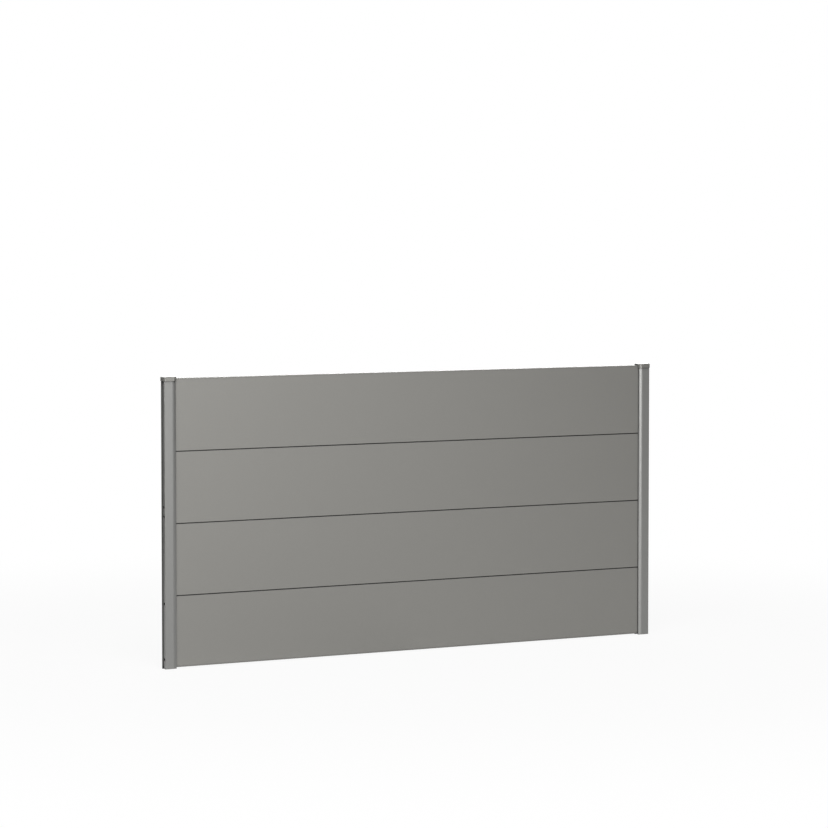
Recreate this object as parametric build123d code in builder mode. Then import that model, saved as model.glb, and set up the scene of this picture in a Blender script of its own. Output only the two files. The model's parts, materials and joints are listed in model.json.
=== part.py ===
"""Privacy screen panel: four hollow aluminium planks held between two slotted aluminium posts.

Frame: X runs along the panel, the front looks towards -Y and Z is up.  The origin is at the middle
of the footprint, on the surface that the two posts stand on.  All sizes are in millimetres.
"""
from build123d import *
from math import acos, cos, sin, sqrt
import os

# Whole panel
panel_width = 1800.0          # over the outer sides of both posts
plank_count = 4
plank_pitch = 225.0           # from one plank's lower edge to the next one's
foot_gap = 4.0                # the planks start this far above the posts' feet

# Plank, an extruded hollow board with a groove below and a tongue on top
plank_depth = 15.0
plank_skin = 1.2
plank_web = 1.1
joint_gap = 3.0               # height of the shadow line between two planks
joint_depth = 5.5             # depth of the shadow line
tongue_rise = 12.0            # how far the tongue enters the next plank
tongue_chamfer = 1.0
groove_side_clearance = 0.2
plank_edge_radius = 0.4
port_wall = 1.4               # wall round the screw ports inside the plank
lower_port_inset = 25.5       # from the plank's lower edge to the lower screw port
upper_port_inset = 23.0       # from the plank's upper edge to the upper screw port

# Closing strips above and below the stack of planks
top_strip_height = 4.0
top_strip_leg = 14.0
strip_plate = 1.6
strip_leg_thickness = 1.3
strip_clearance = 0.25
strip_edge_radius = 0.8

# Post, an extruded profile with a chamber on the outside and a slot for the planks
post_width = 40.0
post_depth = 25.0
post_wall = 1.5
post_edge_radius = 1.0
channel_depth = 3.0           # shallow channel along the outer side
channel_lip = 3.0             # land on either side of that channel
channel_edge_radius = 0.5
slot_depth = 18.0
slot_floor_wall = 2.0
plank_insert = 15.0           # how far a plank reaches into the slot
front_lip_radius = 30.0       # soft rounding beside the planks, on the front only
front_lip_nose = 0.8          # flat end of that rounding, facing along the planks
seal_gap = 1.6                # between a lip and the plank's face, taken up by the seal
guide_rib_thickness = 1.6
guide_rib_clearance = 0.3
guide_rib_inset = 1.0         # from a plank's end to the rib that guides it

# Holes in the posts' outer sides: two in line with the lowest plank's screws, two for fixing
outer_hole_diameter = 9.0
fixing_hole_rise = 21.0       # from the third plank's lower edge to the lower fixing hole
fixing_hole_spacing = 29.0

# Screws that hold the lowest plank to the posts
screw_diameter = 4.8
screw_clearance = 0.1
screw_length = 25.0
screw_point = 1.4
screw_head_diameter = 8.4
screw_head_height = 3.0
screw_socket_across = 3.0
screw_socket_depth = 1.8

# Cap on a post's upper end
cap_top = 5.0
cap_skirt = 8.5
cap_overhang = 2.3
cap_inner_overhang = 4.5      # towards the planks
cap_fit = 0.2
cap_corner_radius = 5.2
cap_front_corner_radius = 12.0
cap_top_rounding = 2.2
plug_wall = 1.6
cap_plug_length = 16.0

# Plug in a post's lower end
foot_plug_plate = 2.0
foot_plug_length = 14.0

# Seal strip between a lip and the planks
seal_foot_width = 3.6
seal_fit = 0.3
seal_nose = 0.1               # what shows of the seal beside the lip

# Levels and lengths along the panel
half_width = panel_width / 2
plank_length = panel_width - 2 * (post_width - plank_insert)
plank_face = plank_pitch - joint_gap
stack_top = foot_gap + (plank_count - 1) * plank_pitch + plank_face
post_height = stack_top + top_strip_height

# Half sizes across the panel, measured from its middle plane
plank_half = plank_depth / 2
cavity_half = plank_half - plank_skin
tongue_half = plank_half - joint_depth
groove_half = tongue_half + groove_side_clearance
post_half = post_depth / 2
post_inside = post_half - post_wall
channel_half = post_half - channel_lip
lip_plane = plank_half + seal_gap
rib_plane = plank_half + guide_rib_clearance

# Distances from a post's outer side towards the planks
chamber_start = channel_depth + post_wall
slot_floor = post_width - slot_depth
chamber_end = slot_floor - slot_floor_wall
plank_end = post_width - plank_insert
rib_start = plank_end + guide_rib_inset
rib_end = rib_start + guide_rib_thickness
seal_start = rib_end + seal_fit

# The front lip's two arcs share a centre; the inner one stops at the lip plane, the outer one at the nose
lip_inner_radius = front_lip_radius - post_wall
lip_centre_depth = post_half - front_lip_radius
lip_outer_angle = acos((lip_plane + front_lip_nose - lip_centre_depth) / front_lip_radius)
lip_inner_angle = acos((lip_plane - lip_centre_depth) / lip_inner_radius)
lip_start = post_width - front_lip_radius * sin(lip_outer_angle)

# The seals' feet, behind the lips: the front one stops where the curved lip meets its corner
seal_foot_end = seal_start + seal_foot_width
seal_foot_offset = max(seal_foot_end - lip_start, 0)
front_seal_reach = lip_centre_depth + sqrt(lip_inner_radius**2 - seal_foot_offset**2)

# Screw ports inside a plank, and the heights of the holes above the posts' feet
port_heights = (lower_port_inset, plank_face - upper_port_inset)
plank_screw_heights = tuple(foot_gap + height for height in port_heights)
lower_fixing_hole = foot_gap + 2 * plank_pitch + fixing_hole_rise
fixing_hole_heights = (lower_fixing_hole, lower_fixing_hole + fixing_hole_spacing)
screw_hole_diameter = screw_diameter + 2 * screw_clearance
port_radius = screw_hole_diameter / 2 + port_wall

# The left post's section lies in this plane, with 0 at its outer side and the planks towards +X
post_plane = Plane(origin=(-half_width, 0, 0), x_dir=(1, 0, 0), z_dir=(0, 0, 1))
# The left post's outer side, seen from outside: local Y is up
side_plane = Plane(origin=(-half_width, 0, 0), x_dir=(0, -1, 0), z_dir=(-1, 0, 0))


def lip_point(radius, angle):
    """A point on one of the front lip's arcs, at this angle from the front face's normal."""
    return (lip_start + radius * sin(angle), -lip_centre_depth - radius * cos(angle))


def lip_arc(radius, angle):
    """One of the front lip's arcs, from its end back to the straight wall."""
    return ThreePointArc(lip_point(radius, angle), lip_point(radius, angle / 2), lip_point(radius, 0))


def post_face():
    """The post's section without its hollows, drawn in the sketch that is open."""
    with BuildLine() as outline:
        Polyline(
            lip_point(front_lip_radius, 0),
            (0, -post_half),
            (0, -channel_half),
            (channel_depth, -channel_half),
            (channel_depth, channel_half),
            (0, channel_half),
            (0, post_half),
            (post_width, post_half),
            (post_width, -lip_plane),
            lip_point(front_lip_radius, lip_outer_angle),
        )
        lip_arc(front_lip_radius, lip_outer_angle)
    return make_face(outline.edges())


def slot_face(mode):
    """The slot: wider behind its lips, narrowed by two guide ribs, and open towards the planks."""
    mouth = post_width + post_wall
    lip_back = post_width - post_wall
    with BuildLine() as outline:
        Polyline(
            lip_point(lip_inner_radius, 0),
            (rib_end, -post_inside),
            (rib_end, -rib_plane),
            (rib_start, -rib_plane),
            (rib_start, -post_inside),
            (slot_floor, -post_inside),
            (slot_floor, post_inside),
            (rib_start, post_inside),
            (rib_start, rib_plane),
            (rib_end, rib_plane),
            (rib_end, post_inside),
            (lip_back, post_inside),
            (lip_back, lip_plane),
            (mouth, lip_plane),
            (mouth, -lip_plane),
            lip_point(lip_inner_radius, lip_inner_angle),
        )
        lip_arc(lip_inner_radius, lip_inner_angle)
    return make_face(outline.edges(), mode=mode)


def chamber_face(inset=0.0, mode=Mode.ADD):
    """The post's closed chamber, or a plug's outline set in from it."""
    with Locations(((chamber_start + chamber_end) / 2, 0)):
        return Rectangle(
            chamber_end - chamber_start - 2 * inset,
            2 * (post_inside - inset),
            mode=mode,
        )


def cut_side_holes(diameter, start, end, heights):
    """Round holes along X through the left post, between two distances from its outer side."""
    with BuildSketch(side_plane.offset(-start)) as holes:
        with Locations(*[(0, height) for height in heights]):
            Circle(diameter / 2)
    extrude(holes.sketch, amount=start - end, mode=Mode.SUBTRACT)


def make_plank(index):
    """One plank; the top one is left open above, where the closing strip plugs in."""
    bottom = foot_gap + index * plank_pitch
    topmost = index == plank_count - 1
    web_levels = (port_heights[0], sum(port_heights) / 2, port_heights[1])
    floors = [plank_skin] + [level + plank_web / 2 for level in web_levels]
    ceilings = [level - plank_web / 2 for level in web_levels]
    ceilings.append(plank_face if topmost else plank_face - plank_skin)
    with BuildPart() as plank:
        with BuildSketch(Plane.YZ) as section:
            with Locations((0, bottom + plank_face / 2)):
                Rectangle(plank_depth, plank_face)
            fillet(section.vertices(), radius=plank_edge_radius)
            if not topmost:
                with BuildSketch(mode=Mode.PRIVATE) as tongue:
                    with Locations((0, bottom + plank_face)):
                        Rectangle(
                            2 * tongue_half,
                            joint_gap + tongue_rise,
                            align=(Align.CENTER, Align.MIN),
                        )
                    chamfer(tongue.vertices().group_by(Axis.Y)[-1], length=tongue_chamfer)
                add(tongue.sketch)
                with Locations((0, bottom + plank_face)):
                    Rectangle(
                        2 * (tongue_half - plank_web),
                        joint_gap + tongue_rise - plank_web,
                        align=(Align.CENTER, Align.MIN),
                        mode=Mode.SUBTRACT,
                    )
            for floor, ceiling in zip(floors, ceilings):
                with Locations((0, bottom + floor)):
                    Rectangle(
                        2 * cavity_half,
                        ceiling - floor,
                        align=(Align.CENTER, Align.MIN),
                        mode=Mode.SUBTRACT,
                    )
            with Locations((0, bottom)):
                Rectangle(
                    2 * (groove_half + plank_web),
                    tongue_rise + plank_web,
                    align=(Align.CENTER, Align.MIN),
                )
                Rectangle(
                    2 * groove_half,
                    tongue_rise,
                    align=(Align.CENTER, Align.MIN),
                    mode=Mode.SUBTRACT,
                )
            with Locations(*[(0, bottom + level) for level in port_heights]):
                Circle(port_radius)
                Circle(screw_hole_diameter / 2, mode=Mode.SUBTRACT)
        extrude(amount=plank_length / 2, both=True)
    return plank.part


def make_seal(side, reach):
    """One seal strip of the left post: a foot behind the lip and a flap along the plank's face."""
    with BuildPart() as seal:
        with BuildSketch(post_plane):
            with BuildLine():
                Polyline(
                    (seal_start, side * plank_half),
                    (post_width + seal_nose, side * plank_half),
                    (post_width + seal_nose, side * lip_plane),
                    (seal_foot_end, side * lip_plane),
                    (seal_foot_end, side * reach),
                    (seal_start, side * reach),
                    close=True,
                )
            make_face()
        extrude(amount=post_height)
    return seal.part


def write(part, name):
    """Label a finished piece and write it under its node's name."""
    part.label = name
    export_step(part, f"parts/{name}.step")


# Left post: one extruded section with the holes in its outer side and in the slot's floor
with BuildPart() as left_post:
    with BuildSketch(post_plane) as post_section:
        post_face()
        outer_corners = post_section.vertices().group_by(Axis.X)[0].sort_by(Axis.Y)
        inner_back_corner = post_section.vertices().group_by(Axis.X)[-1].sort_by(Axis.Y)[-1]
        fillet([outer_corners[0], outer_corners[-1], inner_back_corner], radius=post_edge_radius)
        channel_edges = post_section.vertices().group_by(Axis.X)[0].sort_by(Axis.Y)[1:-1]
        fillet(channel_edges, radius=channel_edge_radius)
        slot_face(Mode.SUBTRACT)
        chamber_face(mode=Mode.SUBTRACT)
    extrude(amount=post_height)
    outer_hole_heights = plank_screw_heights + fixing_hole_heights
    cut_side_holes(outer_hole_diameter, 0, chamber_start + post_wall, outer_hole_heights)
    floor_back = chamber_end - post_wall
    floor_front = slot_floor + post_wall
    cut_side_holes(screw_hole_diameter, floor_back, floor_front, plank_screw_heights)

# Left cap: a domed lid with a skirt round the post's end and a plug in its chamber
cap_bottom = post_height - cap_skirt
with BuildPart() as left_cap:
    with BuildSketch(post_plane.offset(cap_bottom)) as cap_plan:
        with Locations((-cap_overhang, 0)):
            Rectangle(
                post_width + cap_overhang + cap_inner_overhang,
                post_depth + 2 * cap_overhang,
                align=(Align.MIN, Align.CENTER),
            )
        front_inner = cap_plan.vertices().group_by(Axis.X)[-1].sort_by(Axis.Y)[0]
        fillet(front_inner, radius=cap_front_corner_radius)
        outer_corners = cap_plan.vertices().group_by(Axis.X)[0]
        back_corners = cap_plan.vertices().group_by(Axis.Y)[-1]
        fillet(outer_corners + back_corners, radius=cap_corner_radius)
    extrude(amount=cap_skirt + cap_top)
    fillet(left_cap.edges().group_by(Axis.Z)[-1], radius=cap_top_rounding)
    with BuildSketch(post_plane.offset(cap_bottom)):
        with BuildSketch(mode=Mode.PRIVATE) as post_end:
            post_face()
        offset(post_end.sketch, amount=cap_fit, kind=Kind.INTERSECTION)
        with Locations((slot_floor, 0)):
            Rectangle(
                slot_depth + 2 * cap_inner_overhang,
                2 * (lip_plane + cap_fit),
                align=(Align.MIN, Align.CENTER),
            )
    extrude(amount=cap_skirt, mode=Mode.SUBTRACT)
    with BuildSketch(post_plane.offset(post_height)):
        chamber_face(inset=cap_fit)
        chamber_face(inset=cap_fit + plug_wall, mode=Mode.SUBTRACT)
    extrude(amount=-cap_plug_length)

# Left foot plug: a plate flush with the post's end, with a wall up inside the chamber
with BuildPart() as left_foot_plug:
    with BuildSketch(post_plane):
        chamber_face(inset=cap_fit)
    extrude(amount=foot_plug_length)
    with BuildSketch(post_plane.offset(foot_plug_plate)):
        chamber_face(inset=cap_fit + plug_wall)
    extrude(amount=foot_plug_length - foot_plug_plate, mode=Mode.SUBTRACT)

# Screws that run through both slots' floors into the lowest plank's ports
head_plane = side_plane.offset(-chamber_end)
screw_places = [(0, height) for height in plank_screw_heights]
with BuildPart() as plank_screws:
    with BuildSketch(head_plane):
        with Locations(*screw_places):
            Circle(screw_head_diameter / 2)
    extrude(amount=screw_head_height)
    with BuildSketch(head_plane):
        with Locations(*screw_places):
            Circle(screw_diameter / 2)
    extrude(amount=-screw_length)
    point_rims = plank_screws.edges().filter_by(GeomType.CIRCLE).group_by(Axis.X)[-1]
    chamfer(point_rims, length=screw_point)
    with BuildSketch(head_plane.offset(screw_head_height)):
        with Locations(*screw_places):
            RegularPolygon(screw_socket_across / 2, side_count=6, major_radius=False)
    extrude(amount=-screw_socket_depth, mode=Mode.SUBTRACT)
    mirror(about=Plane.YZ)

# Top strip: closes the top plank, sits on its skins and plugs in between them
with BuildPart() as top_strip:
    with BuildSketch(Plane.YZ) as strip_section:
        with Locations((0, stack_top)):
            Rectangle(plank_depth, top_strip_height, align=(Align.CENTER, Align.MIN))
        fillet(strip_section.vertices().group_by(Axis.Y)[-1], radius=strip_edge_radius)
        with Locations((0, stack_top + top_strip_height - strip_plate)):
            Rectangle(
                2 * (cavity_half - strip_clearance),
                top_strip_height - strip_plate + top_strip_leg,
                align=(Align.CENTER, Align.MAX),
            )
            Rectangle(
                2 * (cavity_half - strip_clearance - strip_leg_thickness),
                top_strip_height - strip_plate + top_strip_leg,
                align=(Align.CENTER, Align.MAX),
                mode=Mode.SUBTRACT,
            )
    extrude(amount=plank_length / 2, both=True)

# Bottom strip: a channel pushed up into the lowest plank's groove, flush below
with BuildPart() as bottom_strip:
    with BuildSketch(Plane.YZ):
        with Locations((0, foot_gap)):
            Rectangle(2 * (groove_half - strip_clearance), tongue_rise, align=(Align.CENTER, Align.MIN))
        with Locations((0, foot_gap + strip_plate)):
            Rectangle(
                2 * (groove_half - strip_clearance - strip_leg_thickness),
                tongue_rise - strip_plate,
                align=(Align.CENTER, Align.MIN),
                mode=Mode.SUBTRACT,
            )
    extrude(amount=plank_length / 2, both=True)

os.makedirs("parts", exist_ok=True)

for index in range(plank_count):
    write(make_plank(index), f"plank_{index + 1}")
write(top_strip.part, "top_strip")
write(bottom_strip.part, "bottom_strip")
write(plank_screws.part, "plank_screws")

# The right-hand pieces mirror the left-hand ones
paired_pieces = {
    "post": left_post.part,
    "cap": left_cap.part,
    "foot_plug": left_foot_plug.part,
    "front_seal": make_seal(-1, front_seal_reach),
    "back_seal": make_seal(1, post_inside),
}
for name, left_part in paired_pieces.items():
    write(left_part, f"left_{name}")
    with BuildPart() as right_part:
        mirror(left_part, about=Plane.YZ)
    write(right_part.part, f"right_{name}")
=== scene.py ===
"""Looks of the privacy screen panel: powder-coated aluminium, rubber seals, plastic plugs and steel screws.

All lengths are in metres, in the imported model's own frame: X along the panel, the front towards -Y, Z up.
"""

import json
from math import pi, radians

import bpy
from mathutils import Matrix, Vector

MM = 0.001

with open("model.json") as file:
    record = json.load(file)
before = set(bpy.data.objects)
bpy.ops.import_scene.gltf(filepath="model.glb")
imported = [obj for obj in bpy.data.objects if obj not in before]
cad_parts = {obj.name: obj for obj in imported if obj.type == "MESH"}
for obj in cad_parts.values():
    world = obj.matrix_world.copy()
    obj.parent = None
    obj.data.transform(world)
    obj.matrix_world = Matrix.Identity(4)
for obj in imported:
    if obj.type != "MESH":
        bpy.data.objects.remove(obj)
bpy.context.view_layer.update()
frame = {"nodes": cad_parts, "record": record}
nodes = frame["nodes"]


def linear(hex_colour):
    """An sRGB hex colour as the linear RGBA that shaders take."""
    channels = [int(hex_colour[i:i + 2], 16) / 255 for i in (0, 2, 4)]
    return [c / 12.92 if c <= 0.04045 else ((c + 0.055) / 1.055) ** 2.4 for c in channels] + [1.0]


def add_node(tree, kind, settings=None, values=None, links=None):
    """Add a node with its settings, its sockets' values and the sockets that feed it."""
    node = tree.nodes.new(kind)
    for name, value in (settings or {}).items():
        setattr(node, name, value)
    for name, value in (values or {}).items():
        node.inputs[name].default_value = value
    for name, source in (links or {}).items():
        tree.links.new(source, node.inputs[name])
    return node


def new_material(name):
    """An empty node material and its tree."""
    material = bpy.data.materials.new(name)
    material.use_nodes = True
    material.node_tree.nodes.clear()
    return material, material.node_tree


def open_share_for_painted_shade(tree, nook_size, dark_at, clear_at):
    """How far each spot lies in the open, from 0 deep in a nook to 1 on a plain face.

    It is 0 where neighbours nearer than nook_size leave less of the view open than dark_at, and whole from
    clear_at on. It is lower right under a ledge, such as the lower edge of a cap's skirt, and on a face
    that looks down. It stands in for shade there, with limits chosen by grey level.
    """
    ledge_reach = 12 * MM        # painted shade under a ledge reaches this far down the wall
    clear_of_ledge = 0.4         # open share of the space above that leaves it clear; a wall has about 0.5
    under_ledge = 0.25           # share of the colour left right under a ledge and on a face that looks down, in painted shade
    probes = 8                   # rays that look for neighbours round each point

    # Ambient occlusion gives the mask of the painted shade in nooks and under ledges
    nook = add_node(tree, "ShaderNodeAmbientOcclusion", {"samples": probes}, {"Distance": nook_size})
    out_of_nook = add_node(
        tree, "ShaderNodeMapRange", values={"From Min": dark_at, "From Max": clear_at},
        links={"Value": nook.outputs["AO"]},
    )
    upward = add_node(tree, "ShaderNodeCombineXYZ", values={"Z": 1.0})
    above = add_node(
        tree, "ShaderNodeAmbientOcclusion", {"samples": probes}, {"Distance": ledge_reach},
        {"Normal": upward.outputs["Vector"]},
    )
    out_of_ledge = add_node(
        tree, "ShaderNodeMapRange", values={"From Max": clear_of_ledge, "To Min": under_ledge},
        links={"Value": above.outputs["AO"]},
    )
    return add_node(
        tree, "ShaderNodeMath", {"operation": "MULTIPLY"},
        links={0: out_of_nook.outputs["Result"], 1: out_of_ledge.outputs["Result"]},
    ).outputs[0]


def powder_coated_aluminium(name, colour, speckle_colour, roughness, nook_size, dark_at, clear_at):
    """Aluminium, extruded or die-cast, sprayed with a fine metallic powder and baked.

    It gives the eye a satin, slightly mirroring grey with a faint orange peel and tiny lighter flecks. Its
    colour is painted nearly black in joints and chambers, and darker under ledges and on faces that look
    down: this is painted shade.
    """
    # near-black colour of the painted shade
    painted_shade_colour = "040404"
    flake_share = 0.45           # how far the film looks like metal and not like paint
    speckle_size = 1.6 * MM      # real flakes are 0.05 mm, drawn coarser so that they show
    peel_size = 3.0 * MM         # real waves are about 1 mm, drawn coarser so that they show
    peel_depth = 0.05 * MM
    peel_strength = 0.12
    cloud_size = 260 * MM        # slow, faint change of gloss, as a sprayed film usually has
    cloud_change = 0.02          # of the roughness, up and down

    material, tree = new_material(name)
    place = add_node(tree, "ShaderNodeTexCoord").outputs["Object"]
    speckle = add_node(
        tree, "ShaderNodeTexNoise", values={"Scale": 1 / speckle_size, "Detail": 1.0},
        links={"Vector": place},
    )
    cloud = add_node(
        tree, "ShaderNodeTexNoise", values={"Scale": 1 / cloud_size, "Detail": 2.0},
        links={"Vector": place},
    )
    peel = add_node(
        tree, "ShaderNodeTexNoise", values={"Scale": 1 / peel_size, "Detail": 2.0},
        links={"Vector": place},
    )
    speckled = add_node(
        tree, "ShaderNodeMix", {"data_type": "RGBA"}, {"A": linear(colour), "B": linear(speckle_colour)},
        {"Factor": speckle.outputs["Fac"]},
    )
    # Painted shade: the coat's colour turns to the near-black shade colour in nooks and under ledges
    painted_shade_mix = add_node(
        tree, "ShaderNodeMix", {"data_type": "RGBA"}, {"A": linear(painted_shade_colour)},
        {"Factor": open_share_for_painted_shade(tree, nook_size, dark_at, clear_at), "B": speckled.outputs["Result"]},
    )
    gloss = add_node(
        tree, "ShaderNodeMapRange",
        values={"To Min": roughness - cloud_change, "To Max": roughness + cloud_change},
        links={"Value": cloud.outputs["Fac"]},
    )
    relief = add_node(
        tree, "ShaderNodeBump", values={"Strength": peel_strength, "Distance": peel_depth},
        links={"Height": peel.outputs["Fac"]},
    )
    coat = add_node(
        tree, "ShaderNodeBsdfPrincipled", values={"Metallic": flake_share},
        links={
            "Base Color": painted_shade_mix.outputs["Result"],
            "Roughness": gloss.outputs["Result"],
            "Normal": relief.outputs["Normal"],
        },
    )
    add_node(tree, "ShaderNodeOutputMaterial", links={"Surface": coat.outputs["BSDF"]})
    return material


def moulded_plastic(name, colour, roughness):
    """Polyamide moulded in a spark-eroded tool: an even, dull black skin with a fine grain."""
    grain_size = 0.9 * MM        # real grain is 0.1 mm, drawn coarser so that it shows
    grain_depth = 0.05 * MM
    grain_strength = 0.2
    grain_change = 0.04          # of the roughness, up and down

    material, tree = new_material(name)
    place = add_node(tree, "ShaderNodeTexCoord").outputs["Object"]
    grain = add_node(
        tree, "ShaderNodeTexNoise", values={"Scale": 1 / grain_size, "Detail": 3.0},
        links={"Vector": place},
    )
    relief = add_node(
        tree, "ShaderNodeBump", values={"Strength": grain_strength, "Distance": grain_depth},
        links={"Height": grain.outputs["Fac"]},
    )
    sheen = add_node(
        tree, "ShaderNodeMapRange",
        values={"To Min": roughness - grain_change, "To Max": roughness + grain_change},
        links={"Value": grain.outputs["Fac"]},
    )
    skin = add_node(
        tree, "ShaderNodeBsdfPrincipled", values={"Base Color": linear(colour), "IOR": 1.5},
        links={"Roughness": sheen.outputs["Result"], "Normal": relief.outputs["Normal"]},
    )
    add_node(tree, "ShaderNodeOutputMaterial", links={"Surface": skin.outputs["BSDF"]})
    return material


def extruded_rubber(name, colour, roughness):
    """EPDM rubber drawn through a die: black, matt, with fine lines along its length."""
    line_spacing = 0.8 * MM      # real lines are 0.1 mm apart, drawn coarser so that they show
    line_depth = 0.1 * MM
    line_strength = 0.25
    stretch = 0.01               # the pattern changes a hundred times slower along the upright strip

    material, tree = new_material(name)
    place = add_node(tree, "ShaderNodeTexCoord").outputs["Object"]
    along = add_node(
        tree, "ShaderNodeMapping", values={"Scale": (1.0, 1.0, stretch)}, links={"Vector": place},
    )
    lines = add_node(
        tree, "ShaderNodeTexNoise", values={"Scale": 1 / line_spacing, "Detail": 1.0},
        links={"Vector": along.outputs["Vector"]},
    )
    relief = add_node(
        tree, "ShaderNodeBump", values={"Strength": line_strength, "Distance": line_depth},
        links={"Height": lines.outputs["Fac"]},
    )
    rubber = add_node(
        tree, "ShaderNodeBsdfPrincipled",
        values={"Base Color": linear(colour), "Roughness": roughness, "IOR": 1.5},
        links={"Normal": relief.outputs["Normal"]},
    )
    add_node(tree, "ShaderNodeOutputMaterial", links={"Surface": rubber.outputs["BSDF"]})
    return material


def stainless_steel(name, colour, smoothest, roughest):
    """Cold-headed stainless steel: bright, with faint uneven marks left by the tool."""
    mark_size = 0.6 * MM         # real marks are about 0.1 mm, drawn coarser so that they show

    material, tree = new_material(name)
    place = add_node(tree, "ShaderNodeTexCoord").outputs["Object"]
    marks = add_node(
        tree, "ShaderNodeTexNoise", values={"Scale": 1 / mark_size, "Detail": 3.0},
        links={"Vector": place},
    )
    gloss = add_node(
        tree, "ShaderNodeMapRange", values={"To Min": smoothest, "To Max": roughest},
        links={"Value": marks.outputs["Fac"]},
    )
    steel = add_node(
        tree, "ShaderNodeBsdfPrincipled", values={"Base Color": linear(colour), "Metallic": 1.0},
        links={"Roughness": gloss.outputs["Result"]},
    )
    add_node(tree, "ShaderNodeOutputMaterial", links={"Surface": steel.outputs["BSDF"]})
    return material


# Each powder coat carries painted shade in nooks and under ledges, set by nook_size, dark_at and clear_at
finishes = {
    "paint": powder_coated_aluminium(
        "powder_coated_planks", colour="767571", speckle_colour="7c7b77", roughness=0.38,
        nook_size=12 * MM, dark_at=0.35, clear_at=0.95,
    ),
    "cap_shell": powder_coated_aluminium(
        "powder_coated_castings", colour="767571", speckle_colour="7c7b77", roughness=0.28,
        nook_size=12 * MM, dark_at=0.3, clear_at=0.9,
    ),
    "plug": moulded_plastic("polyamide_moulded", colour="232323", roughness=0.55),
    "seal": extruded_rubber("epdm_rubber_extruded", colour="1b1b1a", roughness=0.75),
    "screw_steel": stainless_steel(
        "stainless_steel_headed", colour="bcbab5", smoothest=0.22, roughest=0.38,
    ),
}

for part in frame["record"]["subparts"]:
    mesh = nodes[part["node"]].data
    mesh.materials.clear()
    mesh.materials.append(finishes[part["material_slot"]])

# In the photograph the posts look a touch more neutral and glossier than the planks
# The posts' coat carries the same painted shade, with a wider reach into nooks
post_finish = powder_coated_aluminium(
    "powder_coated_posts", colour="797977", speckle_colour="7f7f7d", roughness=0.29,
    nook_size=25 * MM, dark_at=0.25, clear_at=0.5,
)
for side in ("left", "right"):
    nodes[side + "_post"].data.materials[0] = post_finish


def put_in_scene(name, content):
    """A new object in the scene that holds a camera, a lamp or a mesh."""
    holder = bpy.data.objects.new(name, content)
    bpy.context.scene.collection.objects.link(holder)
    return holder


# Camera, placed where the photograph was taken from
camera_place = (-5.6176, -9.7483, 1.4484)
camera_turn = 29.944      # degrees to the right of straight on
camera_dip = 3.464        # degrees below the horizon
camera_lens = 152.0       # millimetres
sensor_width = 36.0       # millimetres
camera = put_in_scene("camera", bpy.data.cameras.new("camera"))
camera.location = camera_place
camera.rotation_euler = (radians(90 - camera_dip), 0, radians(-camera_turn))
camera.data.lens = camera_lens
camera.data.sensor_width = sensor_width
bpy.context.scene.camera = camera


def place_and_aim(holder, place, aim):
    """Put a lamp or card in its place and turn it so that it faces a point. The camera doesn't see it."""
    holder.location = place
    holder.rotation_euler = (Vector(aim) - holder.location).to_track_quat("-Z", "Y").to_euler()
    holder.visible_camera = False


def softbox(name, place, aim, width, height, radiance):
    """A rectangular soft lamp that faces a point. A radiance of 1 all round makes a white card look white."""
    lamp = bpy.data.lights.new(name, "AREA")
    lamp.shape = "RECTANGLE"
    lamp.size = width
    lamp.size_y = height
    lamp.energy = radiance * pi * width * height
    place_and_aim(put_in_scene(name, lamp), place, aim)


def rectangle(name, width, depth, material):
    """A flat rectangle round its own middle."""
    x = width / 2
    y = depth / 2
    mesh = bpy.data.meshes.new(name)
    mesh.from_pydata([(-x, -y, 0), (x, -y, 0), (x, y, 0), (-x, y, 0)], [], [(0, 1, 2, 3)])
    mesh.materials.append(material)
    return put_in_scene(name, mesh)


def flag(name, place, aim, width, height, grey):
    """A grey card that takes light away from one side, as a photographer's flag does."""
    material, tree = new_material(name)
    card = add_node(tree, "ShaderNodeBsdfDiffuse", values={"Color": linear(grey)})
    add_node(tree, "ShaderNodeOutputMaterial", links={"Surface": card.outputs["BSDF"]})
    holder = rectangle(name, width, height, material)
    place_and_aim(holder, place, aim)


# The low front lamp stands to the right: its reflection fades along the planks towards the right end
softbox("front_softbox", place=(4.8, -25.0, 2.1), aim=(4.8, 0, 2.1), width=7.8, height=4.1, radiance=15.2)
softbox("top_softbox", place=(-3.2, -5.5, 7.0), aim=(0, 0, 0.45), width=7.0, height=6.0, radiance=3.9)
softbox("rear_softbox", place=(6.0, 14.0, 2.6), aim=(1.0, 0, 0.6), width=9.0, height=5.0, radiance=6.0)
flag("rear_left_flag", place=(-2.0, 1.9, 1.2), aim=(-0.9, 0, 0.6), width=3.1, height=2.4, grey="bababa")
flag("front_right_flag", place=(4.2, -2.5, 1.0), aim=(0.2, 0, 0.6), width=3.4, height=2.0, grey="606060")


def white_for_viewer(tree):
    """1 where the camera, a reflection or a clear material looks, and 0 for diffuse light."""
    path = add_node(tree, "ShaderNodeLightPath")
    seen = add_node(
        tree, "ShaderNodeMath", {"operation": "MAXIMUM"},
        links={0: path.outputs["Is Camera Ray"], 1: path.outputs["Is Glossy Ray"]},
    )
    return add_node(
        tree, "ShaderNodeMath", {"operation": "MAXIMUM"},
        links={0: seen.outputs[0], 1: path.outputs["Is Transmission Ray"]},
    ).outputs[0]


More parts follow.
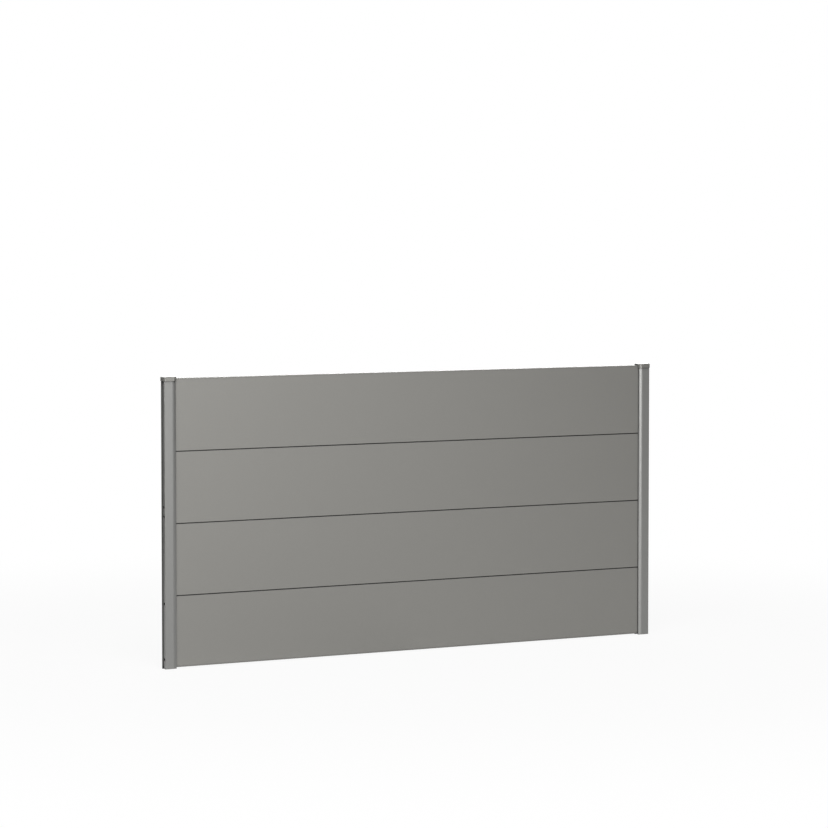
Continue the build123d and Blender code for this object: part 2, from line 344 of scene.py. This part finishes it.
def studio_room():
    """Studio walls: white to look at, and a plain soft grey as light."""
    ambient = 0.2
    room = bpy.data.worlds.new("studio")
    room.use_nodes = True
    tree = room.node_tree
    tree.nodes.clear()
    as_light = add_node(tree, "ShaderNodeBackground", values={"Color": (1, 1, 1, 1), "Strength": ambient})
    as_seen = add_node(tree, "ShaderNodeBackground", values={"Color": (1, 1, 1, 1), "Strength": 1.0})
    walls = add_node(
        tree, "ShaderNodeMixShader",
        links={0: white_for_viewer(tree), 1: as_light.outputs[0], 2: as_seen.outputs[0]},
    )
    add_node(tree, "ShaderNodeOutputWorld", links={"Surface": walls.outputs[0]})
    return room


def studio_floor():
    """A pale floor that keeps the panel's soft shadow near it and is plain white further away."""
    reach = 30.0
    shadow_reach = 1.3        # the shadow is kept up to here
    white_reach = 3.5         # and the floor is all white from here
    near_white = 0.91         # share of plain white near the panel
    floor_colour = "fafafa"
    material, tree = new_material("studio_floor")
    place = add_node(tree, "ShaderNodeTexCoord").outputs["Object"]
    distance = add_node(tree, "ShaderNodeVectorMath", {"operation": "LENGTH"}, links={0: place})
    fade = add_node(
        tree, "ShaderNodeMapRange", {"interpolation_type": "SMOOTHSTEP"},
        {"From Min": shadow_reach, "From Max": white_reach, "To Min": near_white, "To Max": 1.0},
        {"Value": distance.outputs["Value"]},
    )
    share = add_node(
        tree, "ShaderNodeMath", {"operation": "MULTIPLY"},
        links={0: fade.outputs["Result"], 1: white_for_viewer(tree)},
    )
    matt = add_node(tree, "ShaderNodeBsdfDiffuse", values={"Color": linear(floor_colour)})
    white = add_node(tree, "ShaderNodeEmission", values={"Color": (1, 1, 1, 1), "Strength": 1.0})
    surface = add_node(
        tree, "ShaderNodeMixShader",
        links={0: share.outputs[0], 1: matt.outputs[0], 2: white.outputs[0]},
    )
    add_node(tree, "ShaderNodeOutputMaterial", links={"Surface": surface.outputs[0]})
    return rectangle("studio_floor", 2 * reach, 2 * reach, material)


bpy.context.scene.world = studio_room()
studio_floor()

bpy.context.scene.view_settings.view_transform = "Standard"
